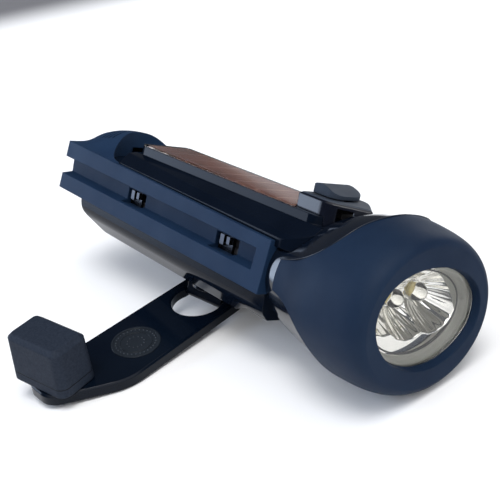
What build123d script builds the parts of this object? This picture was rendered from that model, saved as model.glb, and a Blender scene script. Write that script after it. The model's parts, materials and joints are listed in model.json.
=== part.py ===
from build123d import *

# Hand crank flashlight with side mounting rails, a solar panel, a slide switch and a folding crank.
#
# Every piece is drawn in the body's own frame: X runs from the rear end of the rails to the lens, Z
# points out of the solar panel and Y = 0 is the plane of symmetry. lean() then rolls the whole object
# over to the way it lies on a table, on the crank hinge's stop, the crank's tip and the head's rim.

from math import cos, pi, radians, sin, sqrt
import os

# ---------------------------------------------------------------- driving sizes, mm and degrees
RAIL_LENGTH = 118.0
BODY_HALF = 18.0
FACE_DRAFT = 5.0
RAIL_TOP = 8.8
RAIL_TOP_DROP = 2.0
RAIL_BOTTOM = 8.2
WALL = 1.7
SEAM = 0.12
SCREW_RADIUS = 1.2
SCREW_HEAD = 2.1
SCREW_HEAD_THICK = 1.5
SCREW_SINK = 0.6
SCREW_REAR = 29.0
SCREW_SETBACK = 21.0
SCREW_SIDE = 6.0

CHANNEL_DEPTH = 3.6
CHANNEL_MOUTH_UP = 3.7
CHANNEL_MOUTH_DOWN = 3.2
CHANNEL_FLOOR = 2.2
CHANNEL_STOP = 5.0
WINDOW_REAR = 40.2
WINDOW_SETBACK = 27.3
WINDOW_LENGTH = 11.0
WINDOW_TOP = 1.8
WINDOW_LOW = -3.4

HUMP_PEAK = 16.4
HUMP_LENGTH = 34.0
GROOVES = 4
GROOVE_START = 7.4
GROOVE_PITCH = 2.4
GROOVE_WIDTH = 0.9
GROOVE_DEPTH = 0.5

DECK_REAR = 18.5
DECK_MARGIN = 2.1
DECK_END_LENGTH = 15.5
DECK_REACH = 16.0
DECK_FLOOR = 8.4
SHOULDER = 12.2

PLATFORM_START = 34.0
PLATFORM_SHARE = 0.55
PLATFORM_TOP = 15.5
PANEL_MARGIN = 0.8
PANEL_COVER = 0.7
PANEL_CELL = 0.5
PANEL_PROUD = 0.5

BELLY_BOTTOM = 19.5
BELLY_MARGIN = 2.4
BELLY_REAR = 12.0
BELLY_RAMP = 12.0
BELLY_BREAK = -12.0
BELLY_NOSE = 19.0
BELLY_CLIMB = 10.0
BELLY_BEVEL = 6.0
PEDESTAL_RADIUS = 5.7
PEDESTAL_DROP = 1.5

HEAD_LENGTH = 42.6
LENS_SET = 2.3
LENS_THICK = 1.6
LENS_HALF = 17.6
LENS_HALF_HEIGHT = 12.3
LENS_LOBE = 0.02
LENS_LEDGE = 1.3
LAMP_DEPTH = 18.3
LED_SPACING = 8.4
LED_RISE = 1.0
LED_OUTER_RISE = 2.6
LED_RADIUS = 2.5
LED_LENGTH = 8.8
CUP_RADIUS = 10.0
CUP_NECK = 2.9
CUP_DEPTH = 11.4

SWITCH_OVERLAP = 3.5
SWITCH_LENGTH = 20.5
SWITCH_HALF = 8.0
SWITCH_TOP = 20.0
SWITCH_TRAVEL = 3.5

HUB_X = 73.0
HUB_RADIUS = 5.0
HUB_THICK = 1.1
HINGE_WIDTH = 14.6
KNUCKLE_RADIUS = 1.3
STOP_REACH = 6.3
STOP_DROP = 2.4
SHAFT_RADIUS = 3.0
PIVOT_DROP = 25.6
PIN_RADIUS = 0.7
CRANK_SPIN = -77.5
CRANK_DROOP = 24.0
ARM_TOP = 1.45
ARM_THICK = 3.7
ARM_HALF = 11.6
ARM_ROOT = 5.0
ARM_LENGTH = 62.4
ARM_HOLE = 8.2
ARM_HOLE_AT = 4.0
BADGE_AT = 30.4
BADGE_RADIUS = 7.5
KNOB_INSET = 7.4
KNOB_SIDE = -7.5
KNOB_LONG = 20.6
KNOB_SHORT = 12.6
KNOB_HEIGHT = 15.0
KNOB_TURN = 5.0
AXLE_RADIUS = 2.0

GEAR_SHARE = 22.5
DRIVE_TEETH = 32
PINION_TEETH = 8
WHEEL_TEETH = 28
MAGNET_ROOM = 4.0

CELL_RADIUS = 5.2
CELL_LENGTH = 44.0
CELL_SETBACK = 12.0
CELL_SIDE = 5.6
CELL_RISE = 3.7

BODY_ROLL = -23.03
BODY_PITCH = 4.68

# ---------------------------------------------------------------- named clearances
RUN = 0.06
GAP = 0.4
MESH_SLACK = 0.16

# ---------------------------------------------------------------- sizes worked out from those above
CHANNEL_LENGTH = RAIL_LENGTH - CHANNEL_STOP
WINDOW_STARTS = (WINDOW_REAR, RAIL_LENGTH - WINDOW_SETBACK)
SCREW_ROWS = (SCREW_REAR, RAIL_LENGTH - SCREW_SETBACK)
DECK_HALF = BODY_HALF - DECK_MARGIN
DECK_FRONT = RAIL_LENGTH + DECK_REACH
SWITCH_REAR = RAIL_LENGTH - SWITCH_OVERLAP
SWITCH_MIDDLE = SWITCH_REAR + 6.0
PLATFORM_HALF = BODY_HALF * PLATFORM_SHARE
PANEL_HALF = PLATFORM_HALF - PANEL_MARGIN
BELLY_HALF = BODY_HALF - BELLY_MARGIN
BELLY_FRONT = RAIL_LENGTH - BELLY_NOSE
HEAD_END = RAIL_LENGTH + HEAD_LENGTH
LENS_X = HEAD_END - LENS_SET
BOARD_X = LENS_X - LAMP_DEPTH
INNER_HALF = BODY_HALF - CHANNEL_DEPTH - WALL + 0.3
PLATE_TOP = -1.6
PLATE_HALF = INNER_HALF - 1.0
PLATE_THICK = 1.8
FLOOR = -BELLY_BOTTOM + WALL
SCREW_SEAT = -BELLY_BOTTOM + SCREW_SINK + SCREW_HEAD_THICK
PEDESTAL_BOTTOM = -BELLY_BOTTOM - PEDESTAL_DROP
HUB_TOP = PEDESTAL_BOTTOM - GAP
HUB_BOTTOM = HUB_TOP - HUB_THICK
FORK_HALF = HINGE_WIDTH / 2 + GAP
ARM_LOW = ARM_TOP - ARM_THICK
KNOB_AT = ARM_LENGTH - KNOB_INSET
KNOB_LOW = ARM_TOP + 0.3
DRIVE_LOW = -11.4
DRIVE_THICK = 2.8
WHEEL_LOW = -7.6
WHEEL_THICK = 2.4
GEAR_MODULE = BODY_HALF / GEAR_SHARE
IDLER_X = HUB_X - GEAR_MODULE * (DRIVE_TEETH + PINION_TEETH) / 2
ROTOR_X = IDLER_X - GEAR_MODULE * (WHEEL_TEETH + PINION_TEETH) / 2
SPINDLE_RADIUS = 1.0
STATOR_RADIUS = PLATE_HALF - 1.0
MAGNET_RADIUS = STATOR_RADIUS - MAGNET_ROOM
STATOR_LOW = PLATE_TOP + 1.4
STATOR_HIGH = STATOR_LOW + 4.7
FACE_SLOPE = sin(radians(FACE_DRAFT))
CELL_START = RAIL_LENGTH - CELL_SETBACK - CELL_LENGTH
STEPS = 12


# ---------------------------------------------------------------- helpers
def face_at(x, points):
    """Flat face square to the long axis, from (across, up) corners."""
    return Plane.YZ.offset(x) * make_face(Polyline(*points, close=True))


def oval_at(x, half, top, bottom):
    """Oval face square to the long axis, between two heights."""
    return Plane.YZ.offset(x) * Pos(0, (top + bottom) / 2) * Ellipse(half, (top - bottom) / 2)


def prism(points, start, end):
    """Straight bar along the body with the given (across, up) outline."""
    return extrude(face_at(start, points), amount=end - start)


def block(x0, x1, y0, y1, z0, z1):
    """Box between two corners."""
    middle = Pos((x0 + x1) / 2, (y0 + y1) / 2, (z0 + z1) / 2)
    return middle * Box(x1 - x0, y1 - y0, z1 - z0)


def rod(x, y, z0, z1, radius):
    """Upright cylinder between two heights."""
    return Pos(x, y, (z0 + z1) / 2) * Cylinder(radius, z1 - z0)


def tube(x, y, z0, z1, outer, inner):
    """Upright tube between two heights."""
    return rod(x, y, z0, z1, outer) - rod(x, y, z0, z1, inner)


def lying(x0, x1, y, z, radius):
    """Cylinder along the body."""
    return Pos((x0 + x1) / 2, y, z) * Rot(0, 90, 0) * Cylinder(radius, x1 - x0)


def both_sides(shape):
    """The shape and its mirror image across the plane of symmetry."""
    return shape + mirror(shape, about=Plane.XZ)


def face_y(z):
    """How far out the drafted side face is at one height."""
    return BODY_HALF - z * FACE_SLOPE


def on_crank(shape):
    """Places something drawn in the arm's own frame: X along the arm, Z up through its thickness."""
    return Pos(HUB_X, 0, -PIVOT_DROP) * Rot(0, 0, CRANK_SPIN) * Rot(0, CRANK_DROOP, 0) * shape


# ---------------------------------------------------------------- outer forms shared by neighbours
def body_block():
    """Solid form of both rails before it is hollowed, a little lower towards the head."""
    sections = []
    for x, top in ((0, RAIL_TOP), (RAIL_LENGTH, RAIL_TOP - RAIL_TOP_DROP)):
        low, high = face_y(-RAIL_BOTTOM), face_y(top)
        corners = [(-high, top), (high, top), (low, -RAIL_BOTTOM), (-low, -RAIL_BOTTOM)]
        sections.append(face_at(x, corners))
    return loft(sections, ruled=True)


def hump_section(x, edge, heights):
    """One bell-shaped section of the rear hump, from the middle height out to the rail's edge."""
    across = [edge * k for k in (0.30, 0.56, 0.78)]
    right = list(zip(across, heights[1:]))
    top = [(-edge, heights[-1])] + [(-y, z) for y, z in reversed(right)] + [(0, heights[0])]
    top += right + [(edge, heights[-1])]
    crest = Spline(*top)
    low = heights[-1] - 3
    under = Polyline((edge, heights[-1]), (edge, low), (-edge, low), (-edge, heights[-1]))
    return Plane.YZ.offset(x) * make_face([crest, *under.edges()])


def hump():
    """Raised rear of the matte shell, which wraps round the end of the deck."""
    edge = face_y(RAIL_TOP) - 0.1
    drop = RAIL_TOP_DROP * HUMP_LENGTH / RAIL_LENGTH
    rear = hump_section(0, edge, (13.5, 12.1, 9.7, 9.0, RAIL_TOP))
    crown = hump_section(12, edge, (HUMP_PEAK, 15.4, 12.6, 10.0, RAIL_TOP - 0.2))
    front = hump_section(HUMP_LENGTH, edge, (HUMP_PEAK, 15.9, 13.4, 10.2, RAIL_TOP - drop))
    return loft([rear, crown, front])


def grip_grooves(form):
    """Fine grooves across the crest of a form, cut to one depth below its surface."""
    skin = form - Pos(0, 0, -GROOVE_DEPTH) * form
    reach = BODY_HALF / 2
    cuts = []
    for i in range(GROOVES):
        start = GROOVE_START + GROOVE_PITCH * i
        cuts.append(skin & block(start, start + GROOVE_WIDTH, -reach, reach, RAIL_TOP + 2, HUMP_PEAK + 2))
    return cuts


def deck_plan(grow, low, high):
    """Outline of the deck seen from above, a long strip with oval ends, as a solid."""
    straight_from = DECK_REAR + DECK_END_LENGTH
    straight_to = DECK_FRONT - DECK_END_LENGTH
    middle = Pos((straight_from + straight_to) / 2, 0)
    strip = middle * Rectangle(straight_to - straight_from, 2 * (DECK_HALF + grow))
    ends = Ellipse(DECK_END_LENGTH + grow, DECK_HALF + grow)
    plan = strip + Pos(straight_from, 0) * ends + Pos(straight_to, 0) * ends
    return extrude(Pos(0, 0, low) * plan, amount=high - low)


def head_ovals(stations):
    """Oval faces of the head from (share of its length, extra half width, top, bottom)."""
    faces = []
    for share, extra, top, low in stations:
        faces.append(oval_at(RAIL_LENGTH + share * HEAD_LENGTH, BODY_HALF + extra, top, low))
    return faces


def head_core():
    """Oval solid of the gloss front housing, which swells from the neck to the lens."""
    return loft(head_ovals([
        (0, -1.1, 12.2, -16.4),
        (0.12, -0.7, 13.2, -19.4),
        (0.26, 0.2, 16.6, -21.0),
        (0.42, 2.2, 19.6, -21.6),
        (0.61, 4.0, 20.8, -21.5),
        (0.77, 4.6, 20.5, -21.0),
        (0.92, 4.0, 19.3, -19.6),
    ]))


def head_skin():
    """Oval solid of the rubber boot's outside, rounded over at the rim."""
    return loft(head_ovals([
        (0.07, 0.3, 14.6, -18.6),
        (0.235, 1.7, 18.2, -22.3),
        (0.40, 3.9, 21.2, -23.1),
        (0.587, 5.8, 22.4, -23.0),
        (0.775, 6.4, 22.1, -22.6),
        (0.904, 6.2, 21.2, -21.6),
        (0.967, 5.2, 20.2, -20.4),
        (1, 3.4, 18.4, -18.6),
    ]))


def lens_outline(x, grow):
    """Face with the lens's slightly three-lobed oval outline."""
    points = []
    for i in range(STEPS):
        angle = 2 * pi * i / STEPS
        lobe = 1 + LENS_LOBE * sin(3 * angle)
        across = (LENS_HALF * lobe + grow) * cos(angle)
        points.append((across, (LENS_HALF_HEIGHT * lobe + grow) * sin(angle)))
    return Plane.YZ.offset(x) * make_face(Spline(*points, periodic=True))


def lens_prism(x0, x1, grow):
    """Solid with the lens's outline."""
    return extrude(lens_outline(x0, grow), amount=x1 - x0)


def belly_form(inset):
    """Smooth underside form: one outline from the side crossed with one from the end."""
    low = -BELLY_BOTTOM + inset
    half = BELLY_HALF - inset
    right = [(half + 0.6, 0), (half, low + BELLY_BEVEL), (half - BELLY_BEVEL, low)]
    left = [(-y, z) for y, z in reversed(right)]
    end = make_face(Polyline(*right, *left, close=True))
    end = fillet(end.vertices().filter_by(lambda v: v.Y < -1), 4.5)
    rear = BELLY_REAR + inset
    climb = BELLY_FRONT + BELLY_CLIMB - inset
    points = [(rear, 0), (rear, BELLY_BREAK), (rear + BELLY_RAMP, low), (BELLY_FRONT, low)]
    points += [(climb, low + 4.2), (RAIL_LENGTH, low + 3.6), (RAIL_LENGTH, 0)]
    side = make_face(Polyline(*points, close=True))
    rounded = side.vertices().filter_by(lambda v: BELLY_BREAK - 1 < v.Y < BELLY_BREAK + 1)
    rounded += side.vertices().filter_by(lambda v: v.X < BELLY_FRONT + 1 and v.Y < low + 1)
    side = fillet(rounded, 6)
    along = extrude(Plane.YZ * end, amount=RAIL_LENGTH)
    across = extrude(Plane.XZ * side, amount=2 * BODY_HALF, both=True)
    return along & across


# ---------------------------------------------------------------- housing
def side_channels():
    """The two mounting channels, open at the rear and closed near the head."""
    floor = BODY_HALF - CHANNEL_DEPTH
    out = BODY_HALF + 3
    points = [(floor, -CHANNEL_FLOOR), (floor, CHANNEL_FLOOR)]
    points += [(out, CHANNEL_MOUTH_UP + 0.5), (out, -CHANNEL_MOUTH_DOWN - 0.3)]
    return both_sides(prism(points, -1, CHANNEL_LENGTH))


def rail_windows():
    """Openings in the channels' floors, two on each side."""
    cuts = []
    for start in WINDOW_STARTS:
        cut = block(start, start + WINDOW_LENGTH, INNER_HALF - 1, BODY_HALF - 1, WINDOW_LOW, WINDOW_TOP)
        cuts.append(both_sides(cut))
    return cuts


def grip_shell():
    """Matte shell: both rails with their channels, joined round the rear by the hump."""
    rise = hump()
    shell = body_block() + rise
    shell -= block(BELLY_REAR + WALL, RAIL_LENGTH + 1, -INNER_HALF, INNER_HALF, -20, 7.0)
    shell -= block(WALL + 0.5, BELLY_REAR + 4, -INNER_HALF, INNER_HALF, WALL - RAIL_BOTTOM, 7.0)
    shell -= block(WALL + 2.5, DECK_REAR, -6.5, 6.5, 5, 11.5)
    shell -= side_channels()
    for cut in rail_windows() + grip_grooves(rise):
        shell -= cut
    shell -= deck_plan(SEAM, 7.0 - WALL, 30)
    return shell


def rail_latches():
    """Spring catches that look out of the four windows and hold whatever slides along a channel."""
    pieces = []
    for start in WINDOW_STARTS:
        x0 = start + 1.0
        foot = block(x0, x0 + 5.6, INNER_HALF - 0.9, INNER_HALF, WINDOW_LOW - 0.8, WINDOW_TOP + 0.8)
        tongue = block(x0 + 0.8, x0 + 2.6, INNER_HALF - 0.2, INNER_HALF + 1.3, -1.6, 1.4)
        nib = block(x0 + 3.4, x0 + 4.8, INNER_HALF - 0.2, INNER_HALF + 0.9, -1.0, 1.2)
        latch = foot + tongue + nib
        pieces += [latch, mirror(latch, about=Plane.XZ)]
    return Compound(pieces)


def deck_section(x, step, shoulder_y, shoulder_z, rim):
    """One section of the deck: a rim, a shoulder and the flat strip under the platform."""
    edge = DECK_HALF + 0.5
    right = [(PLATFORM_HALF + 0.3, step), (shoulder_y, shoulder_z), (edge, rim)]
    left = [(-y, z) for y, z in reversed(right)]
    return face_at(x, [(-edge, 5.3)] + left + right + [(edge, 5.3)])


def deck_form():
    """Solid form of the deck and its platform, before it is hollowed."""
    rear = deck_section(PLATFORM_START, SHOULDER + 0.4, DECK_HALF - 3.1, SHOULDER, RAIL_TOP - 0.8)
    front = deck_section(DECK_FRONT, SHOULDER + 0.9, DECK_HALF - 0.7, 8.8, RAIL_TOP - RAIL_TOP_DROP)
    shoulders = loft([rear, front], ruled=True)
    floor = block(DECK_REAR - 1, PLATFORM_START, -DECK_HALF - 1, DECK_HALF + 1, 5.3, DECK_FLOOR)
    return (shoulders + floor) & deck_plan(0, 5.3, 30)


def platform():
    """Raised strip that carries the solar panel."""
    length = DECK_FRONT - 8 - PLATFORM_START
    plan = RectangleRounded(length, 2 * PLATFORM_HALF + 0.6, 4.5)
    base = Pos(PLATFORM_START + length / 2, 0, DECK_FLOOR) * plan
    return extrude(base, amount=PLATFORM_TOP - DECK_FLOOR, taper=3)


def panel_recess(inset, low, high):
    """Rectangular space of the solar panel, drawn in by inset."""
    half = PANEL_HALF - inset
    return block(PLATFORM_START + 1.9 + inset, SWITCH_REAR - 0.6 - inset, -half, half, low, high)


def top_deck():
    """Gloss cover between the rails, with the platform, wire hole and underside ribs."""
    deck = deck_form() + platform()
    side = DECK_HALF - 2.5
    right = [(side, 5), (side, 6.4), (PLATFORM_HALF - 0.9, SHOULDER - WALL)]
    hollow = right + [(-y, z) for y, z in reversed(right)]
    deck -= prism(hollow, PLATFORM_START + 1, RAIL_LENGTH)
    deck -= block(DECK_REAR + 5, PLATFORM_START + 2, -7, 7, 5, DECK_FLOOR - 1.5)
    deck -= panel_recess(0, PLATFORM_TOP - PANEL_CELL - PANEL_COVER + PANEL_PROUD, 30)
    deck -= rod(HUB_X, 0, 0, 30, 1.5)
    return deck - head_core()


def solar_cell():
    """Thin photovoltaic sheet under the clear cover."""
    top = PLATFORM_TOP + PANEL_PROUD - PANEL_COVER
    return panel_recess(0.4, top - PANEL_CELL, top)


def panel_cover():
    """Clear cast cover over the cell, a little proud of the platform."""
    top = PLATFORM_TOP + PANEL_PROUD
    cover = panel_recess(0.05, top - PANEL_COVER, top)
    return chamfer(cover.faces().sort_by(Axis.Z)[-1].edges(), 0.2)


def lower_housing():
    """Gloss belly with the pedestal, bearing posts and screw posts."""
    belly = belly_form(0) - body_block() - head_core()
    belly -= belly_form(WALL) & block(0, RAIL_LENGTH - 1.5, -30, 30, -40, 10)
    pedestal = Pos(HUB_X, 0, PEDESTAL_BOTTOM + 2) * Cone(PEDESTAL_RADIUS, PEDESTAL_RADIUS + 1, 4)
    belly += pedestal & block(0, RAIL_LENGTH, -30, 30, -40, FLOOR + 0.2)
    belly += rod(HUB_X, 0, FLOOR, DRIVE_LOW - GAP, 5.6)
    for x, y in screw_spots():
        belly += rod(x, y, FLOOR - 0.2, PLATE_TOP - PLATE_THICK, SCREW_HEAD + 0.9)
        belly -= rod(x, y, -BELLY_BOTTOM - 5, SCREW_SEAT, SCREW_HEAD + 0.2)
        belly -= rod(x, y, -30, 0, SCREW_RADIUS)
    belly += rod(IDLER_X, 0, FLOOR - 0.2, DRIVE_LOW - 0.6, 2.6)
    belly += rod(ROTOR_X, 0, FLOOR - 0.2, WHEEL_LOW - 1.2, 2.6)
    belly -= rod(HUB_X, 0, -40, 0, 4.4)
    belly -= rod(IDLER_X, 0, FLOOR + 0.4, 0, SPINDLE_RADIUS)
    return belly - rod(ROTOR_X, 0, -13.0, 0, SPINDLE_RADIUS + RUN)


def screw_spots():
    """The four screw posts' places."""
    return [(x, y) for x in SCREW_ROWS for y in (-SCREW_SIDE, SCREW_SIDE)]


def housing_screws():
    """Four long screws from below, each with a pan head sunk in the belly."""
    pieces = []
    for x, y in screw_spots():
        low = SCREW_SEAT - SCREW_HEAD_THICK
        screw = rod(x, y, low, SCREW_SEAT, SCREW_HEAD)
        screw += rod(x, y, SCREW_SEAT - 0.1, PLATE_TOP, SCREW_RADIUS)
        for long, wide in ((1.5, 0.25), (0.25, 1.5)):
            screw -= block(x - long, x + long, y - wide, y + wide, low - 1, low + 0.7)
        pieces.append(screw)
    return Compound(pieces)


def hub_bushing():
    """Bearing sleeve pressed into the pedestal."""
    return tube(HUB_X, 0, PEDESTAL_BOTTOM, DRIVE_LOW - GAP, 4.4, SHAFT_RADIUS + RUN)


def front_housing():
    """Gloss neck and head housing that holds the lamp."""
    core = head_core()
    inner = loft([
        oval_at(RAIL_LENGTH - 0.01, BODY_HALF - 3.2, 10.2, -14.4),
        oval_at(RAIL_LENGTH + 0.26 * HEAD_LENGTH, BODY_HALF - 1.8, 14.4, -18.8),
        oval_at(BOARD_X + 1.8, BODY_HALF + 1.4, 18.2, -19.0),
    ])
    return core - inner - lens_prism(BOARD_X, HEAD_END, LENS_LEDGE + 0.1)


def boot_side():
    """Side view of the boot: tabs reach back along the neck, and the top and underside stay bare."""
    tab, waist, top, crest, brow = [HEAD_LENGTH * share for share in (0.14, 0.34, 0.55, 0.62, 0.69)]
    over = HEAD_LENGTH + 2
    upper = Spline((tab, 3.6), (waist, 6.4), (top, 12.3), (crest, 18.1), (brow, 24))
    lower = Spline((HEAD_LENGTH * 0.645, -25), (top, -15.5), (HEAD_LENGTH * 0.375, -8.6), (tab, -4.8))
    rest = Polyline(upper @ 1, (over, 24), (over, -25), lower @ 0)
    outline = make_face([upper, *rest.edges(), lower, Line(lower @ 1, upper @ 0)])
    return Pos(RAIL_LENGTH, 0, 0) * extrude(Plane.XZ * outline, amount=40, both=True)


def head_boot():
    """Thick rubber boot over the front housing, open round the lens."""
    boot = (head_skin() & boot_side()) - head_core()
    opening = loft([lens_outline(LENS_X - 3, 0), lens_outline(HEAD_END + 0.5, 1.2)], ruled=True)
    boot -= opening
    return boot - lens_prism(LENS_X - 8, LENS_X, LENS_LEDGE)


def lens():
    """Clear flat lens held between the boot's lip and the reflector."""
    return lens_prism(LENS_X - LENS_THICK, LENS_X, LENS_LEDGE - 0.1)


def led_spots():
    """Middles of the three lamps, outer ones a little higher."""
    return [(-LED_SPACING, LED_OUTER_RISE), (0, LED_RISE), (LED_SPACING, LED_OUTER_RISE)]


def cup(y, z):
    """Parabolic bowl of one lamp."""
    back = LENS_X - LENS_THICK - CUP_DEPTH
    growth = (CUP_RADIUS ** 2 - CUP_NECK ** 2) / CUP_DEPTH
    curve = [(sqrt(CUP_NECK ** 2 + growth * s), s) for s in (0, 1, 3, 6, 9, CUP_DEPTH)]
    rim = curve[-1][0]
    bowl = [(rim, CUP_DEPTH), (rim, CUP_DEPTH + 1), (0, CUP_DEPTH + 1), (0, -4), (CUP_NECK, -4)]
    bowl = Polyline(*bowl, (CUP_NECK, 0))
    outline = make_face([Spline(*curve), *bowl.edges()])
    return Pos(back, y, z) * Rot(0, 90, 0) * revolve(Plane.XZ * outline, Axis.Z)


def reflector():
    """Bright three-cup reflector with the lens's outline."""
    body = lens_prism(BOARD_X + 1.9, LENS_X - LENS_THICK - 0.05, LENS_LEDGE - 0.1)
    room = lens_prism(LENS_X - LENS_THICK - 2.6, LENS_X, 0)
    for y, z in led_spots():
        body -= cup(y, z)
    return body - room


def leds():
    """Three round-topped lamps standing on the board."""
    pieces = []
    for y, z in led_spots():
        front = BOARD_X + 1.4
        tip = front + LED_LENGTH - LED_RADIUS
        lamp = lying(front, front + 1.0, y, z, LED_RADIUS + 0.3) + lying(front, tip, y, z, LED_RADIUS)
        pieces.append(lamp + Pos(tip, y, z) * Sphere(LED_RADIUS))
    return Compound(pieces)


def led_board():
    """Round board that the lamps are soldered to."""
    board = extrude(oval_at(BOARD_X, BODY_HALF + 0.4, 16.4, -17.2), amount=1.4)
    return board - lying(BOARD_X - 1, BOARD_X + 3, 0, -10, 2.0)


# ---------------------------------------------------------------- switch
def switch_plan(inset):
    """Boat-shaped outline of the switch housing, pointed towards the head."""
    half = SWITCH_HALF - inset
    rear = SWITCH_REAR + inset
    tip = SWITCH_REAR + SWITCH_LENGTH - 1.6 * inset
    side = Spline((rear + 8.5, half), (rear + 15, half * 0.62), (tip, 0), tangents=((1, 0), (0.75, -0.66)))
    edges = [Line((rear, half), (rear + 8.5, half)), side, Line((rear, -half), (rear, half))]
    mirrored = [mirror(edge, about=Plane.XZ) for edge in edges[:2]]
    return make_face([*edges, *mirrored])


def switch_housing():
    """Gloss housing of the switch, hollow under its top, on the deck and the neck."""
    body = extrude(Pos(0, 0, 12) * switch_plan(0), amount=SWITCH_TOP - 12)
    body = chamfer(body.faces().sort_by(Axis.Z)[-1].edges(), 0.7)
    body -= extrude(Pos(0, 0, 10) * switch_plan(1.6), amount=SWITCH_TOP - 1.5 - 10)
    body -= block(SWITCH_MIDDLE - 2, SWITCH_MIDDLE + 2 + SWITCH_TRAVEL, -1.9, 1.9, 10, 30)
    return body - deck_form() - platform() - head_core()


def switch_slider():
    """Carrier of the thumb pad, with a stem through the slot down to the contact lever."""
    stem = block(SWITCH_MIDDLE - 1.6, SWITCH_MIDDLE + 1.6, -1.5, 1.5, SWITCH_TOP - 2.6, SWITCH_TOP + 0.5)
    return carrier_plate(SWITCH_TOP + 0.3) + stem


def carrier_plate(low):
    """Flat part of the carrier, from some height up to its top."""
    return block(SWITCH_MIDDLE - 4.2, SWITCH_MIDDLE + 4.2, -4.4, 4.4, low, SWITCH_TOP + 1)


def switch_pad():
    """Soft thumb pad over the carrier, a smooth hump that falls away towards the head."""
    low = SWITCH_TOP + 0.35
    crown = Spline((-5.4, 1.0), (-3.4, 2.5), (-0.8, 2.9), (2.6, 2.1), (5.4, 1.0))
    sides = Polyline(crown @ 1, (5.4, 0), (-5.4, 0), crown @ 0)
    side = Plane.XZ * make_face([crown, *sides.edges()])
    pad = extrude(side, amount=5.4, both=True) & extrude(RectangleRounded(10.8, 10.8, 3.2), amount=5)
    return Pos(SWITCH_MIDDLE, 0, low) * pad - carrier_plate(SWITCH_TOP)


def contact_block():
    """Fixed half of the slide switch, inside its housing."""
    return block(SWITCH_MIDDLE - 3.6, SWITCH_MIDDLE + 6.6, -3, 3, PLATFORM_TOP, SWITCH_TOP - 3)


# ---------------------------------------------------------------- electrics
def main_board():
    """Charging board under the deck."""
    board = block(HUB_X - 17, SWITCH_REAR - 1.5, -8.6, 8.6, 9.6, 10.2)
    return board - rod(HUB_X, 0, 0, 30, 1.5)


def board_parts():
    """Chip, capacitor, diodes and connector on the charging board's underside."""
    front = SWITCH_REAR - 2.5
    pieces = [block(HUB_X - 15, HUB_X - 11.6, -3.4, 3.4, 8.2, 9.6)]
    pieces.append(block(front - 3.8, front, -5, 5, 6.4, 9.6))
    pieces += [block(front - 5, front - 4.1, y - 0.8, y + 0.8, 8.6, 9.6) for y in (-6, -3, 0, 3, 6)]
    pieces.append(rod(HUB_X - 15.6, 6.6, 5.6, 9.6, 1.6))
    return Compound(pieces)


def battery_cells():
    """Two rechargeable cells side by side."""
    pieces = []
    for y in (-CELL_SIDE, CELL_SIDE):
        cell = lying(CELL_START, CELL_START + CELL_LENGTH - 1, y, CELL_RISE, CELL_RADIUS)
        pieces.append(cell + lying(CELL_START - 1, CELL_START + CELL_LENGTH, y, CELL_RISE, 1.9))
    return Compound(pieces)


def battery_tray():
    """Cradle on the gearbox plate that the cells lie in."""
    half = PLATE_HALF - 0.4
    front = CELL_START + CELL_LENGTH
    tray = block(CELL_START - 2.6, front + 1.4, -half, half, PLATE_TOP, CELL_RISE - 1.7)
    for y in (-CELL_SIDE, CELL_SIDE):
        tray -= lying(CELL_START - 1.1, front + 0.1, y, CELL_RISE, CELL_RADIUS + 0.05)
    return tray


def battery_contacts():
    """Plates at the two ends of the cells."""
    pieces = []
    for start in (CELL_START - 1.4, CELL_START + CELL_LENGTH + 0.05):
        pieces.append(block(start, start + 0.35, -9.6, 9.6, CELL_RISE - 1.6, CELL_RISE + 2.8))
    return Compound(pieces)


# ---------------------------------------------------------------- generator and gears
def gear_outline(teeth, slack):
    """Spur gear face: straight-flanked teeth, thinned so that they run free in mesh."""
    pitch = GEAR_MODULE * teeth / 2
    tip = pitch + 0.86 * GEAR_MODULE
    root = pitch - 1.12 * GEAR_MODULE
    half_angle = pi / teeth / 2 - slack / (2 * pitch)
    points = []
    for i in range(teeth):
        middle = 2 * pi * i / teeth
        flank = ((root, 1.75), (pitch, 1.0), (tip, 0.42))
        for radius, widen in flank + tuple((r, -w) for r, w in reversed(flank)):
            angle = middle - widen * half_angle
            points.append((radius * cos(angle), radius * sin(angle)))
    return make_face(Polyline(*points, close=True))


def gear(x, low, thick, teeth, turned):
    """Spur gear on an upright axis, turned by some degrees about it."""
    return Pos(x, 0, low) * Rot(0, 0, turned) * extrude(gear_outline(teeth, MESH_SLACK), amount=thick)


def drive_gear():
    """Large gear on the crank's shaft."""
    wheel = gear(HUB_X, DRIVE_LOW, DRIVE_THICK, DRIVE_TEETH, 0)
    wheel -= rod(HUB_X, 0, -20, 0, SHAFT_RADIUS)
    for i in range(6):
        spot = Rot(0, 0, 60 * i) * Pos(7.8, 0, 0)
        wheel -= Pos(HUB_X, 0, DRIVE_LOW) * spot * Cylinder(2.0, 20)
    return wheel


def idler_gear():
    """Compound gear: a pinion driven by the drive gear, under the wheel that drives the rotor."""
    half_tooth = 180 / PINION_TEETH
    pinion = gear(IDLER_X, DRIVE_LOW, WHEEL_LOW - DRIVE_LOW, PINION_TEETH, half_tooth)
    wheel = gear(IDLER_X, WHEEL_LOW, WHEEL_THICK, WHEEL_TEETH, 0)
    for i in range(5):
        wheel -= Pos(IDLER_X, 0, WHEEL_LOW) * Rot(0, 0, 72 * i + 36) * Pos(7.0, 0, 0) * Cylinder(1.7, 20)
    return pinion + wheel - rod(IDLER_X, 0, -20, 0, SPINDLE_RADIUS + RUN)


def idler_axle():
    """Fixed steel pin that the compound gear turns on."""
    return rod(IDLER_X, 0, FLOOR + 0.4, PLATE_TOP, SPINDLE_RADIUS)


def rotor_pinion():
    """Small gear at the foot of the rotor's shaft."""
    half_tooth = 180 / PINION_TEETH
    pinion = gear(ROTOR_X, WHEEL_LOW - 0.2, WHEEL_THICK + 0.4, PINION_TEETH, half_tooth)
    return pinion - rod(ROTOR_X, 0, -20, 0, SPINDLE_RADIUS)


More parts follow.
